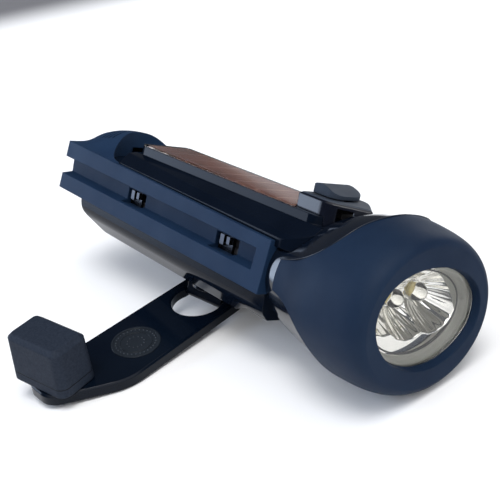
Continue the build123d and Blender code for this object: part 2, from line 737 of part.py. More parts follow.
def rotor_shaft():
    """Steel shaft of the generator."""
    return rod(ROTOR_X, 0, -12.8, STATOR_HIGH + 2.2, SPINDLE_RADIUS)


def rotor_magnet():
    """Ring magnet on the shaft."""
    return tube(ROTOR_X, 0, PLATE_TOP + GAP, 5.0, MAGNET_RADIUS, SPINDLE_RADIUS)


def stator_core():
    """Toothed iron ring round the magnet."""
    ring = tube(ROTOR_X, 0, STATOR_LOW, STATOR_HIGH, STATOR_RADIUS, STATOR_RADIUS - 1.5)
    for i in range(6):
        tooth = block(MAGNET_RADIUS + 0.6, STATOR_RADIUS - 1.2, -1.3, 1.3, STATOR_LOW, STATOR_HIGH)
        ring += Pos(ROTOR_X, 0, 0) * Rot(0, 0, 60 * i) * tooth
    return ring


def stator_coils():
    """Six windings, one round each tooth of the iron ring."""
    pieces = []
    for i in range(6):
        near, far = MAGNET_RADIUS + 1.1, STATOR_RADIUS - 1.8
        winding = block(near, far, -2.3, 2.3, STATOR_LOW - 0.7, STATOR_HIGH + 0.7)
        winding -= block(0, STATOR_RADIUS, -1.3, 1.3, STATOR_LOW, STATOR_HIGH)
        pieces.append(Pos(ROTOR_X, 0, 0) * Rot(0, 0, 60 * i) * winding)
    return Compound(pieces)


def generator_cap():
    """Bearing bridge over the magnet, on two posts that stand on the gearbox plate."""
    low = STATOR_HIGH + 0.9
    bridge = block(ROTOR_X - 2.6, ROTOR_X + 2.6, -PLATE_HALF, PLATE_HALF, low, low + 1.1)
    leg = block(ROTOR_X - 2.6, ROTOR_X + 2.6, STATOR_RADIUS + 0.1, PLATE_HALF, PLATE_TOP, low + 1.1)
    bridge += both_sides(leg)
    return bridge - rod(ROTOR_X, 0, 0, 20, SPINDLE_RADIUS + RUN)


def gearbox_plate():
    """Plate over the gears that carries the generator and the battery tray."""
    low = PLATE_TOP - PLATE_THICK
    plate = block(SCREW_REAR - 5, RAIL_LENGTH - 6, -PLATE_HALF, PLATE_HALF, low, PLATE_TOP)
    for x, y in screw_spots():
        plate -= rod(x, y, -10, 10, SCREW_RADIUS)
    plate -= rod(IDLER_X, 0, -10, 10, SPINDLE_RADIUS)
    return plate - rod(ROTOR_X, 0, -10, 10, SPINDLE_RADIUS + 0.5)


# ---------------------------------------------------------------- crank
def hinge_tongue():
    """Cross tongue under the hub, with a stop nose behind it that ends the arm's swing."""
    top = HUB_BOTTOM + 0.4
    nose = -PIVOT_DROP - STOP_DROP
    outline = [(KNUCKLE_RADIUS, -PIVOT_DROP), (KNUCKLE_RADIUS, top), (-STOP_REACH / 2, top)]
    outline += [(-STOP_REACH, nose + 3), (-STOP_REACH, nose), (0, -PIVOT_DROP - KNUCKLE_RADIUS + 0.05)]
    side = Plane.XZ * make_face(Polyline(*outline, close=True))
    return extrude(side, amount=HINGE_WIDTH / 2, both=True)


def crank_hub():
    """Gloss hub and shaft. The tongue's knuckle takes the fold pin."""
    hub = rod(HUB_X, 0, HUB_BOTTOM, HUB_TOP, HUB_RADIUS)
    hub = fillet(hub.edges().filter_by(GeomType.CIRCLE).sort_by(Axis.Z)[0], 0.3)
    hub += rod(HUB_X, 0, HUB_TOP - 1, DRIVE_LOW + DRIVE_THICK, SHAFT_RADIUS)
    hub += Pos(HUB_X, 0, 0) * Rot(0, 0, CRANK_SPIN) * hinge_tongue()
    hub += on_crank(Rot(90, 0, 0) * Cylinder(KNUCKLE_RADIUS, HINGE_WIDTH))
    hub -= rod(HUB_X, 0, -16, 0, SPINDLE_RADIUS)
    return hub - on_crank(Rot(90, 0, 0) * Cylinder(PIN_RADIUS, 40))


def drive_screw():
    """Screw that keeps the drive gear on the shaft."""
    top = DRIVE_LOW + DRIVE_THICK
    return rod(HUB_X, 0, top, top + 1.3, 3.4) + rod(HUB_X, 0, -15.6, top + 0.1, SPINDLE_RADIUS)


def fold_pin():
    """Pin across the hub that the arm folds on."""
    return on_crank(Rot(90, 0, 0) * Cylinder(PIN_RADIUS, 2 * (ARM_HALF - 2)))


def rounded_corner(outline, corner, radius):
    """The outline with the corner nearest to a point rounded."""
    return fillet(outline.vertices().sort_by_distance(corner)[0], radius)


def arm_plan():
    """Outline of the arm: straight sides, a rounded tip swept back under the knob, and a forked root."""
    bend = (ARM_LENGTH - 18.9, ARM_HALF - 0.2)
    tip = (ARM_LENGTH + 0.4, -1.5)
    heel = (ARM_LENGTH - 0.9, -ARM_HALF - 1.8)
    roots = [(-ARM_ROOT, -ARM_HALF), (-ARM_ROOT, ARM_HALF)]
    outline = make_face(Polyline(bend, tip, heel, *roots, close=True))
    for corner, radius in ((bend, 16), (tip, 6), (heel, 5), (roots[0], 2.5), (roots[1], 2.5)):
        outline = rounded_corner(outline, corner, radius)
    fork = Pos(-1, 0) * Rectangle(10, 2 * FORK_HALF) + Pos(ARM_HOLE_AT, 0) * Circle(ARM_HOLE)
    return outline - fork


def crank_arm():
    """Flat gloss arm with ears for the fold pin and a round recess for its badge."""
    arm = extrude(Pos(0, 0, ARM_LOW) * arm_plan(), amount=ARM_THICK)
    rims = arm.faces().sort_by(Axis.Z)
    arm = chamfer(rims[-1].edges() + rims[0].edges(), 0.5)
    arm -= rod(BADGE_AT, 0, ARM_TOP - 0.7, 10, BADGE_RADIUS)
    arm -= Rot(90, 0, 0) * Cylinder(PIN_RADIUS + RUN, 2 * (ARM_HALF - 1.9))
    arm -= rod(KNOB_AT, KNOB_SIDE, -10, 10, AXLE_RADIUS)
    arm -= rod(KNOB_AT, KNOB_SIDE, -10, ARM_LOW + 1, AXLE_RADIUS + 1.6)
    return on_crank(arm)


def arm_badge():
    """Round inlay in the arm with a raised plain ring."""
    disc = rod(BADGE_AT, 0, ARM_TOP - 0.7, ARM_TOP - 0.05, BADGE_RADIUS)
    disc += tube(BADGE_AT, 0, ARM_TOP - 0.2, ARM_TOP + 0.15, BADGE_RADIUS - 0.1, BADGE_RADIUS - 0.7)
    disc += tube(BADGE_AT, 0, ARM_TOP - 0.2, ARM_TOP + 0.15, 5.0, 4.6)
    return on_crank(disc)


def knob_axle():
    """Stepped rivet through the arm that the knob turns on."""
    foot = ARM_LOW + 1
    collar = KNOB_LOW + 7.8
    axle = rod(KNOB_AT, KNOB_SIDE, foot - 0.8, foot, AXLE_RADIUS + 1.5)
    axle += rod(KNOB_AT, KNOB_SIDE, foot - 0.1, collar + 0.1, AXLE_RADIUS)
    axle += rod(KNOB_AT, KNOB_SIDE, collar, collar + 1.1, AXLE_RADIUS + 1.0)
    return on_crank(axle)


def knob_block(shrink, low, high):
    """Four-sided tapered block of the knob, in the arm's frame."""
    base = RectangleRounded(KNOB_SHORT + 0.9 - 2 * shrink, KNOB_LONG + 0.9 - 2 * shrink, 3.0 - shrink / 2)
    place = Pos(KNOB_AT, KNOB_SIDE, low) * Rot(0, 0, KNOB_TURN)
    return extrude(place * base, amount=high - low, taper=2)


def sleeve_block():
    """Tapered block of the hard sleeve inside the knob."""
    return knob_block(2.2, KNOB_LOW + 0.6, KNOB_LOW + 10.4)


def knob_core():
    """Hard sleeve inside the knob that runs on the rivet."""
    core = sleeve_block() + rod(KNOB_AT, KNOB_SIDE, KNOB_LOW, KNOB_LOW + 1, 4.4)
    core -= rod(KNOB_AT, KNOB_SIDE, 0, 20, AXLE_RADIUS + RUN)
    core -= rod(KNOB_AT, KNOB_SIDE, KNOB_LOW + 7.5, 20, AXLE_RADIUS + 1.4)
    return on_crank(core)


def knob_cover():
    """Matte rubber cover of the knob, bevelled round its top."""
    cover = knob_block(0, KNOB_LOW, KNOB_LOW + KNOB_HEIGHT)
    cover = chamfer(cover.faces().sort_by(Axis.Z)[-1].edges(), 1.3)
    cover -= sleeve_block()
    cover -= rod(KNOB_AT, KNOB_SIDE, 0, KNOB_LOW + 0.7, 4.5)
    return on_crank(cover)


# ---------------------------------------------------------------- assembly
PIECES = {
    "grip_shell": grip_shell,
    "rail_latches": rail_latches,
    "top_deck": top_deck,
    "solar_cell": solar_cell,
    "panel_cover": panel_cover,
    "lower_housing": lower_housing,
    "housing_screws": housing_screws,
    "hub_bushing": hub_bushing,
    "front_housing": front_housing,
    "head_boot": head_boot,
    "lens": lens,
    "reflector": reflector,
    "leds": leds,
    "led_board": led_board,
    "switch_housing": switch_housing,
    "switch_slider": switch_slider,
    "switch_pad": switch_pad,
    "contact_block": contact_block,
    "main_board": main_board,
    "board_parts": board_parts,
    "battery_cells": battery_cells,
    "battery_tray": battery_tray,
    "battery_contacts": battery_contacts,
    "gearbox_plate": gearbox_plate,
    "idler_axle": idler_axle,
    "stator_core": stator_core,
    "stator_coils": stator_coils,
    "generator_cap": generator_cap,
    "drive_gear": drive_gear,
    "drive_screw": drive_screw,
    "crank_hub": crank_hub,
    "fold_pin": fold_pin,
    "idler_gear": idler_gear,
    "rotor_pinion": rotor_pinion,
    "rotor_shaft": rotor_shaft,
    "rotor_magnet": rotor_magnet,
    "crank_arm": crank_arm,
    "arm_badge": arm_badge,
    "knob_axle": knob_axle,
    "knob_core": knob_core,
    "knob_cover": knob_cover,
}


def lean(shape):
    """Rolls the object towards its far side and tips its head up, as it lies."""
    return Rot(0, BODY_PITCH, 0) * Rot(BODY_ROLL, 0, 0) * shape


def main():
    """Builds every piece, sets the object on the table and writes one file per piece."""
    os.makedirs("parts", exist_ok=True)
    leaned = {name: lean(make()) for name, make in PIECES.items()}
    box = Compound([shape for piece in leaned.values() for shape in piece.solids()]).bounding_box()
    shift = Pos(-(box.min.X + box.max.X) / 2, -(box.min.Y + box.max.Y) / 2, -box.min.Z)
    for name, piece in leaned.items():
        export_step(Compound((shift * piece).solids()), f"parts/{name}.step")
    print("shift", tuple(round(v, 4) for v in shift.position), "size", box.size)


main()
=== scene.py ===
"""Studio picture of a hand crank flashlight that lies on its crank, with every finish built from nodes."""

import json
import math

import bpy
from mathutils import Matrix, Vector


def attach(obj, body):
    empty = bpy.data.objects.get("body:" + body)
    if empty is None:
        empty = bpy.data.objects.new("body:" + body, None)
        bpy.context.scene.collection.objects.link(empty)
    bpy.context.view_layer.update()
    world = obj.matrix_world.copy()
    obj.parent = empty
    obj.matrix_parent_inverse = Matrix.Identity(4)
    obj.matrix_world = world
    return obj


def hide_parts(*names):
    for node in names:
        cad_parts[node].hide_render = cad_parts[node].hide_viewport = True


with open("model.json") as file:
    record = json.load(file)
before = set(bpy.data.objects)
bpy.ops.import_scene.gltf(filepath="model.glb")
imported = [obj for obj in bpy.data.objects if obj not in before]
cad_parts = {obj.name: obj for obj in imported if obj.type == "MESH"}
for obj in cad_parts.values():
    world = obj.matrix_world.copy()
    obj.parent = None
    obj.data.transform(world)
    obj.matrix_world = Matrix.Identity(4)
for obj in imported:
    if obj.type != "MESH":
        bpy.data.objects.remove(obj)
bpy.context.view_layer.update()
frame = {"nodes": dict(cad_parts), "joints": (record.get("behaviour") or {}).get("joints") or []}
MM = 0.001

# ---------------------------------------------------------------- sizes in mm, in the flashlight's own frame
HUB_X = 73.0
PIVOT_DROP = 25.6
LENS_X = 158.3
LENS_THICK = 1.6
LENS_HALF = 17.6
LENS_HALF_HEIGHT = 12.3
LENS_LOBE = 0.02
LENS_LEDGE = 1.2
CUP_NECK = 2.9
CUP_DEPTH = 11.4
CUP_GROWTH = 8.03
PLATE_SET = 2.6
PLATE_RINGS = 5
LED_SPOTS = ((-8.4, 2.6), (0.0, 1.0), (8.4, 2.6))
LED_RADIUS = 2.5
LED_FRONT = 141.4
LED_TIP = 150.2
SWITCH_TOP = 20.0
BADGE_AT = 30.4
ARM_TOP = 1.45
KNOB_LOW = 1.75
PARTING_RISE = 2.5
CELL_PITCH = 9.6
FINGER_PITCH = 1.3
CELL_BAND_X = 96.0
FLUTES = 18
FLUTE_DEPTH = 0.16
PLATE_BACK = 2.5

# ---------------------------------------------------------------- frames taken from the joints
HINGES = {joint["name"]: joint for joint in frame["joints"]}


def joint_axis(name):
    """Direction of a joint in the row frame."""
    return Vector(HINGES[name]["axis"]).normalized()


def axes_matrix(along, out, origin):
    """Matrix of a frame with that X and Z direction and that origin."""
    turn = Matrix((along, out.cross(along), out)).transposed().to_4x4()
    return Matrix.Translation(origin) @ turn


PIVOT = Vector(HINGES["crank_spin"]["pos_m"])
ALONG = joint_axis("switch_slide")
OUT = joint_axis("crank_spin")
BODY = axes_matrix(ALONG, OUT, PIVOT - HUB_X * MM * ALONG + PIVOT_DROP * MM * OUT)
ARM_UP = joint_axis("knob_spin")
ARM = axes_matrix(joint_axis("arm_fold").cross(ARM_UP), ARM_UP, PIVOT)


def body_direction(x, y, z):
    """Direction of the flashlight's own frame in the row frame."""
    return (BODY.to_3x3() @ Vector((x, y, z))).normalized()


# ---------------------------------------------------------------- camera
CAMERA_PLACE = (290.7, -170.7, 56.5)
CAMERA_FORWARD = (-0.7425, 0.6307, -0.2252)
CAMERA_DOWN = (0.2959, 0.0076, -0.9552)
CAMERA_LENS = 64.8


def make_camera():
    """Camera at the photograph's viewing angle, placed in the flashlight's own frame."""
    data = bpy.data.cameras.new("studio_camera")
    data.lens = CAMERA_LENS
    data.clip_start = 0.01
    camera = bpy.data.objects.new("studio_camera", data)
    bpy.context.scene.collection.objects.link(camera)
    forward = Vector(CAMERA_FORWARD).normalized()
    right = Vector(CAMERA_DOWN).cross(forward).normalized()
    turn = Matrix((right, right.cross(forward), -forward)).transposed().to_4x4()
    camera.matrix_world = BODY @ Matrix.Translation(Vector(CAMERA_PLACE) * MM) @ turn
    bpy.context.scene.camera = camera


# ---------------------------------------------------------------- node helpers
class Finish:
    """A material under construction, with short calls for the nodes that finishes share."""

    def __init__(self, name, **sockets):
        self.material = bpy.data.materials.new(name)
        self.material.use_nodes = True
        self.tree = self.material.node_tree
        self.shader = self.tree.nodes["Principled BSDF"]
        for socket, value in sockets.items():
            self.shader.inputs[socket.replace("_", " ")].default_value = value
        self.place = self.tree.nodes.new("ShaderNodeTexCoord").outputs["Object"]

    def link(self, source, target):
        self.tree.links.new(source, target)
        return self

    def node(self, kind, **inputs):
        """A new node with its inputs set or linked by name."""
        made = self.tree.nodes.new(kind)
        for name, value in inputs.items():
            self.feed(made.inputs[name.replace("_", " ")], value)
        return made

    def feed(self, socket, value):
        if isinstance(value, bpy.types.NodeSocket):
            return self.link(value, socket)
        socket.default_value = value
        return self

    def math(self, operation, first, second=0.0):
        made = self.tree.nodes.new("ShaderNodeMath")
        made.operation = operation
        self.feed(made.inputs[0], first).feed(made.inputs[1], second)
        return made.outputs[0]

    def in_frame(self, matrix):
        """Pattern coordinates, in metres, in one of the object's own frames."""
        back = matrix.inverted()
        mapping = self.node("ShaderNodeMapping", Vector=self.place)
        mapping.inputs["Location"].default_value = back.translation
        mapping.inputs["Rotation"].default_value = back.to_euler()
        return mapping.outputs["Vector"]

    def axis(self, matrix, letter):
        """One coordinate, in metres, in one of the object's own frames."""
        return self.node("ShaderNodeSeparateXYZ", Vector=self.in_frame(matrix)).outputs[letter]

    def noise(self, scale, detail=3.0, rough=0.5, place=None):
        """Fractal noise, in cells per metre."""
        made = self.node("ShaderNodeTexNoise", Vector=place or self.place, Scale=scale, Detail=detail)
        made.inputs["Roughness"].default_value = rough
        return made.outputs["Fac"]

    def ramp(self, value, *stops):
        """Colour ramp from (position, colour) stops."""
        made = self.node("ShaderNodeValToRGB", Fac=value)
        ramp = made.color_ramp
        while len(ramp.elements) < len(stops):
            ramp.elements.new(0.5)
        for element, (position, colour) in zip(ramp.elements, stops):
            element.position = position
            element.color = (*colour, 1.0)
        return made.outputs["Color"]

    def spread(self, value, low, high):
        """Maps 0..1 to low..high."""
        return self.node("ShaderNodeMapRange", Value=value, To_Min=low, To_Max=high).outputs["Result"]

    def step(self, value, low, high):
        """Smooth step from 0 at low to 1 at high."""
        made = self.node("ShaderNodeMapRange", Value=value, From_Min=low, From_Max=high)
        made.interpolation_type = "SMOOTHSTEP"
        return made.outputs["Result"]

    def mix(self, share, first, second):
        """Blend of two colours."""
        made = self.tree.nodes.new("ShaderNodeMix")
        made.data_type = "RGBA"
        self.feed(made.inputs["Factor"], share)
        colours = [socket for socket in made.inputs if socket.type == "RGBA"]
        for socket, value in zip(colours, (first, second)):
            self.feed(socket, value if isinstance(value, bpy.types.NodeSocket) else (*value, 1.0))
        return next(socket for socket in made.outputs if socket.type == "RGBA")

    def soften(self, radius):
        """Rounds the look of sharp edges by a real radius in metres."""
        made = self.node("ShaderNodeBevel", Radius=radius)
        made.samples = 6
        return self.link(made.outputs["Normal"], self.shader.inputs["Normal"])

    def bump(self, height, distance, strength=1.0):
        """Bump of a real depth in metres, chained after any normal already there."""
        made = self.node("ShaderNodeBump", Height=height, Strength=strength, Distance=distance)
        normal = self.shader.inputs["Normal"]
        if normal.links:
            self.link(normal.links[0].from_socket, made.inputs["Normal"])
        return self.link(made.outputs["Normal"], normal)

    def colour(self, socket):
        return self.link(socket, self.shader.inputs["Base Color"])

    def rough(self, socket):
        return self.link(socket, self.shader.inputs["Roughness"])


# ---------------------------------------------------------------- finishes of the outside
def soft_touch(name, dark, light, grain=3200.0, depth=0.00004, radius=0.0004):
    """Matte coat or rubber with a fine grain and slow cloudy variation."""
    made = Finish(name, IOR=1.18)
    made.colour(made.ramp(made.noise(55.0, 4.0, 0.6), (0.3, dark), (0.72, light)))
    made.rough(made.spread(made.noise(140.0, 3.0), 0.48, 0.62))
    made.soften(radius)
    made.bump(made.noise(grain, 2.0, 0.6), depth, 0.6)
    return made.material


def gloss_black(name, dark, light, low=0.06, high=0.14, radius=0.00035, ior=1.36):
    """Moulded gloss plastic with faint handling haze and a slight moulding ripple."""
    made = Finish(name, IOR=ior)
    made.colour(made.ramp(made.noise(38.0, 3.0), (0.3, dark), (0.75, light)))
    made.rough(made.spread(made.noise(90.0, 6.0, 0.65), low, high))
    made.soften(radius)
    made.bump(made.noise(70.0, 1.0), 0.00005, 0.2)
    return made.material


def switch_finish():
    """Gloss sides and a matte rubber top on the switch housing."""
    made = Finish("switch_gloss_and_rubber", IOR=1.4)
    top = made.step(made.axis(BODY, "Z"), (SWITCH_TOP - 0.35) * MM, (SWITCH_TOP - 0.15) * MM)
    gloss = made.ramp(made.noise(60.0), (0.3, (0.003, 0.004, 0.009)), (0.7, (0.005, 0.007, 0.014)))
    rubber = made.ramp(made.noise(900.0, 2.0), (0.3, (0.022, 0.030, 0.046)), (0.7, (0.032, 0.042, 0.060)))
    made.colour(made.mix(top, gloss, rubber))
    made.rough(made.spread(top, 0.08, 0.6))
    made.soften(0.0004)
    made.bump(made.math("MULTIPLY", made.noise(3200.0, 2.0), top), 0.00004, 0.6)
    return made.material


def knob_finish():
    """Grained rubber with a parting line round its foot."""
    made = Finish("knob_rubber", IOR=1.18)
    height = made.axis(ARM, "Z")
    low = (KNOB_LOW + PARTING_RISE) * MM
    enter = made.step(height, low, low + 0.15 * MM)
    leave = made.step(height, low + 0.3 * MM, low + 0.45 * MM)
    line = made.math("SUBTRACT", enter, leave)
    skin = made.ramp(made.noise(1400.0, 3.0, 0.6), (0.25, (0.012, 0.017, 0.028)), (0.75, (0.022, 0.029, 0.044)))
    made.colour(made.mix(line, skin, (0.006, 0.008, 0.012)))
    made.rough(made.spread(made.noise(300.0), 0.5, 0.66))
    made.soften(0.0006)
    made.bump(made.noise(2300.0, 2.0, 0.6), 0.00006, 0.7)
    made.bump(made.math("SUBTRACT", 1.0, line), 0.0002, 0.8)
    return made.material


def plated(name, tint, low=0.02, high=0.08):
    """Bright plating with a slight waviness."""
    made = Finish(name, Metallic=1.0)
    bright = tuple(min(1.0, part * 1.06) for part in tint)
    made.colour(made.ramp(made.noise(120.0, 2.0), (0.3, tint), (0.8, bright)))
    made.rough(made.spread(made.noise(260.0, 3.0), low, high))
    return made.material


def clear(name, tint, rough, ior):
    """Clear plastic."""
    made = Finish(name, IOR=ior)
    made.shader.inputs["Transmission Weight"].default_value = 1.0
    made.colour(made.ramp(made.noise(50.0), (0.2, tint), (0.8, tuple(part * 0.985 for part in tint))))
    made.rough(made.spread(made.noise(180.0, 4.0), rough * 0.4, rough * 1.5))
    return made.material


def solar_finish():
    """Brown photovoltaic film, divided into cells by fine pale lines."""
    made = Finish("solar_film", Roughness=0.3, IOR=1.12)
    along = made.axis(BODY, "X")
    across = made.axis(BODY, "Y")
    cell = made.math("FRACT", made.math("MULTIPLY", along, 1 / (CELL_PITCH * MM)))
    gap = made.math("GREATER_THAN", cell, 0.965)
    lane = made.math("FRACT", made.math("MULTIPLY", across, 1 / (FINGER_PITCH * MM)))
    finger = made.math("GREATER_THAN", lane, 0.93)
    film = made.ramp(made.noise(160.0, 4.0), (0.3, (0.10, 0.040, 0.028)), (0.7, (0.145, 0.062, 0.044)))
    lined = made.mix(made.math("MULTIPLY", finger, 0.35), film, (0.34, 0.2, 0.16))
    made.colour(made.mix(made.math("MULTIPLY", gap, 0.8), lined, (0.40, 0.27, 0.22)))
    made.bump(gap, 0.00004, 0.5)
    return made.material


# ---------------------------------------------------------------- finishes of the inside
def moulded(name, dark, light, low=0.35, high=0.55):
    """Plain moulded plastic with a fine spark-eroded texture."""
    made = Finish(name)
    made.colour(made.ramp(made.noise(90.0, 4.0), (0.3, dark), (0.7, light)))
    made.rough(made.spread(made.noise(240.0), low, high))
    made.soften(0.0002)
    made.bump(made.noise(4200.0, 2.0), 0.00002, 0.5)
    return made.material


def turned_metal(name, tint, low=0.2, high=0.36):
    """Metal with fine turning or rolling marks."""
    made = Finish(name, Metallic=1.0)
    dull = tuple(part * 0.8 for part in tint)
    made.colour(made.ramp(made.noise(300.0, 4.0), (0.3, dull), (0.7, tint)))
    stretched = made.node("ShaderNodeMapping", Vector=made.place)
    stretched.inputs["Scale"].default_value = (1.0, 1.0, 18.0)
    marks = made.noise(900.0, 3.0, 0.6, stretched.outputs["Vector"])
    made.rough(made.spread(marks, low, high))
    made.bump(marks, 0.00001, 0.4)
    return made.material


def wound_copper():
    """Enamelled wire, seen as close turns."""
    made = Finish("enamelled_wire", Metallic=0.8)
    turns = made.node("ShaderNodeTexWave", Vector=made.in_frame(BODY), Scale=700.0, Distortion=0.4)
    turns.bands_direction = "Z"
    made.colour(made.ramp(turns.outputs["Fac"], (0.2, (0.30, 0.09, 0.03)), (0.8, (0.66, 0.27, 0.1))))
    made.rough(made.spread(made.noise(500.0), 0.24, 0.4))
    made.bump(turns.outputs["Fac"], 0.00008, 0.8)
    return made.material


def circuit_board():
    """Green solder mask with copper tracks that show through it."""
    made = Finish("circuit_board", Roughness=0.35)
    tracks = made.node("ShaderNodeTexBrick", Vector=made.in_frame(BODY), Scale=260.0)
    mask = made.ramp(made.noise(200.0, 3.0), (0.3, (0.012, 0.10, 0.04)), (0.7, (0.02, 0.15, 0.06)))
    made.colour(made.mix(made.math("MULTIPLY", tracks.outputs["Fac"], 0.5), mask, (0.06, 0.26, 0.1)))
    made.bump(tracks.outputs["Fac"], 0.00003, 0.5)
    return made.material


def cell_sleeve():
    """Shrink sleeve with a plain silver band round each cell's end."""
    made = Finish("cell_sleeve", Roughness=0.28)
    band = made.math("GREATER_THAN", made.axis(BODY, "X"), CELL_BAND_X * MM)
    green = made.ramp(made.noise(70.0, 3.0), (0.3, (0.02, 0.17, 0.07)), (0.7, (0.03, 0.24, 0.1)))
    made.colour(made.mix(band, green, (0.5, 0.51, 0.52)))
    made.bump(made.noise(420.0, 2.0), 0.00003, 0.4)
    return made.material


# ---------------------------------------------------------------- mesh helpers
def mesh_piece(name, points, faces, material, body, matrix=BODY):
    """Smooth piece from points in mm in one of the object's frames, riding a body."""
    mesh = bpy.data.meshes.new(name)
    mesh.from_pydata([matrix @ (Vector(point) * MM) for point in points], [], faces)
    mesh.update()
    for face in mesh.polygons:
        face.use_smooth = True
    return placed(name, mesh, material, body)


def placed(name, mesh, material, body):
    """Object of a mesh that is already in the row frame."""
    piece = bpy.data.objects.new(name, mesh)
    bpy.context.scene.collection.objects.link(piece)
    mesh.materials.clear()
    mesh.materials.append(material)
    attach(piece, body)
    return piece


def ring_faces(rings, steps, first=0):
    """Quads between rings of points that follow each other."""
    faces = []
    for ring in range(rings - 1):
        for i in range(steps):
            j = (i + 1) % steps
            low, high = first + ring * steps, first + (ring + 1) * steps
            faces.append((low + i, low + j, high + j, high + i))
    return faces


def lathe(profile, spot, steps=40):
    """Points and faces of a closed turning about an axis along the body, from (radius, x) pairs."""
    y, z = spot
    points = []
    for radius, x in profile:
        for i in range(steps):
            angle = 2 * math.pi * i / steps
            points.append((x, y + radius * math.cos(angle), z + radius * math.sin(angle)))
    faces = ring_faces(len(profile), steps)
    last = (len(profile) - 1) * steps
    faces.append(tuple(reversed(range(steps))))
    faces.append(tuple(last + i for i in range(steps)))
    return points, faces


def joined(shapes):
    """Several (points, faces) shapes as one."""
    points, faces = [], []
    for more_points, more_faces in shapes:
        start = len(points)
        points += more_points
        faces += [tuple(start + i for i in face) for face in more_faces]
    return points, faces


def bead(name, runs, radius, material, body, closed=False, matrix=BODY):
    """Round bead along smooth runs of points in mm, as one mesh."""
    curve = bpy.data.curves.new(name, "CURVE")
    curve.dimensions = "3D"
    curve.bevel_depth = radius * MM
    curve.bevel_resolution = 3
    curve.use_fill_caps = True
    for run in runs:
        spline = curve.splines.new("BEZIER")
        spline.bezier_points.add(len(run) - 1)
        spline.use_cyclic_u = closed
        for knot, point in zip(spline.bezier_points, run):
            knot.co = matrix @ (Vector(point) * MM)
            knot.handle_left_type = knot.handle_right_type = "AUTO"
    guide = bpy.data.objects.new(name + "_guide", curve)
    bpy.context.scene.collection.objects.link(guide)
    graph = bpy.context.evaluated_depsgraph_get()
    mesh = bpy.data.meshes.new_from_object(guide.evaluated_get(graph))
    bpy.data.objects.remove(guide)
    for face in mesh.polygons:
        face.use_smooth = True
    return placed(name, mesh, material, body)


# ---------------------------------------------------------------- lamp
def lens_edge(angle, grow, x):
    """Point of the lens's slightly three-lobed outline."""
    lobe = 1 + LENS_LOBE * math.sin(3 * angle)
    across = (LENS_HALF * lobe + grow) * math.cos(angle)
    return (x, across, (LENS_HALF_HEIGHT * lobe + grow) * math.sin(angle))


def bowl_depth(y, z):
    """How far in front of the bowls' floor the reflector stands at one place, with shallow flutes."""
    rise = CUP_DEPTH - PLATE_SET
    for lamp_y, lamp_z in LED_SPOTS:
        reach = math.hypot(y - lamp_y, z - lamp_z)
        fade = min(1.0, max(0.0, reach - CUP_NECK) / 3)
        flute = FLUTE_DEPTH * math.cos(FLUTES * math.atan2(z - lamp_z, y - lamp_y)) * fade
        rise = min(rise, max(0.0, (reach ** 2 - CUP_NECK ** 2) / CUP_GROWTH + flute))
    return rise


def make_reflector(material, plate_painted_reflection):
    """Three merging bright bowls with fluted walls in a plate with the lens's outline; the plate and ledge
    rings carry a matte cream painted reflection of the pale floor.
    """
    steps, shares = 200, [0.02 + 0.98 * i / 72 for i in range(73)]
    back = LENS_X - LENS_THICK - CUP_DEPTH
    front = LENS_X - LENS_THICK - 0.06
    points = []
    for share in shares:
        for i in range(steps):
            _, y, z = lens_edge(2 * math.pi * i / steps, -0.02, 0)
            points.append((back + bowl_depth(y * share, z * share), y * share, z * share))
    rear = back - PLATE_BACK
    for grow, x in ((-0.02, front), (LENS_LEDGE, front), (LENS_LEDGE, rear), (-2.0, rear)):
        points += [lens_edge(2 * math.pi * i / steps, grow, x) for i in range(steps)]
    faces = ring_faces(len(shares) + 4, steps)
    faces.append(tuple(reversed(range(steps))))
    piece = mesh_piece("lamp_reflector", points, faces, material, "housing")
    # The outer plate rings, the ledge and the back take a matte cream colour: a painted reflection of the pale
    # floor, standing in for the plated plate mirroring it.
    piece.data.materials.append(plate_painted_reflection)
    for face in piece.data.polygons:
        face.material_index = int(face.index // steps >= len(shares) - PLATE_RINGS)
    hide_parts("reflector")


def make_lamps_in_bowls(dome_finish, chip_finish):
    """Three domed lamps, each with its phosphor chip on a small white foot."""
    foot = LED_RADIUS + 0.3
    dome = [(foot, LED_FRONT + 0.02), (foot, LED_FRONT + 1), (LED_RADIUS, LED_FRONT + 1.02)]
    for i in range(13):
        angle = math.radians(90 * i / 12)
        radius = max(0.02, LED_RADIUS * math.cos(angle))
        dome.append((radius, LED_TIP - LED_RADIUS + LED_RADIUS * math.sin(angle)))
    points, faces = joined([lathe(dome, spot) for spot in LED_SPOTS])
    piece = mesh_piece("lamp_domes", points, faces, dome_finish, "housing")
    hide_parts("leds")
    chip = [(1.35, 145.2), (1.35, 145.9), (1.0, 146.15), (0.02, 146.25)]
    points, faces = joined([lathe(chip, spot, 24) for spot in LED_SPOTS])
    mesh_piece("lamp_chips", points, faces, chip_finish, "housing")


def make_lens_gasket(material):
    """Thin dark gasket line round the plate in front of the bowls."""
    run = [lens_edge(2 * math.pi * i / 48, -1.3, LENS_X - LENS_THICK - PLATE_SET + 0.25) for i in range(48)]
    bead("lens_gasket", [run], 0.22, material, "housing", closed=True)


# ---------------------------------------------------------------- boot
BOOT_SEAM = (
    (123.7, -18.05, 3.55), (127.9, -18.75, 4.75), (132.5, -19.85, 6.4), (137.9, -20.3, 9.3),
    (141.4, -19.4, 12.4), (143.4, -17.1, 15.5), (144.6, -13.9, 18.3), (145.7, -10.4, 20.3),
    (146.8, -6.6, 21.7), (147.1, 0.0, 22.35),
)


def make_boot_piping(material):
    """Fine bead where the rubber boot ends on the gloss neck, right over the top."""
    far = [(x, -y, z) for x, y, z in reversed(BOOT_SEAM[:-1])]
    bead("boot_piping", [[*BOOT_SEAM, *far]], 0.2, material, "housing")


# ---------------------------------------------------------------- badge
def node_link(tree, source, output, target, socket):
    """Joins two geometry nodes by socket name."""
    tree.links.new(source.outputs[output], target.inputs[socket])


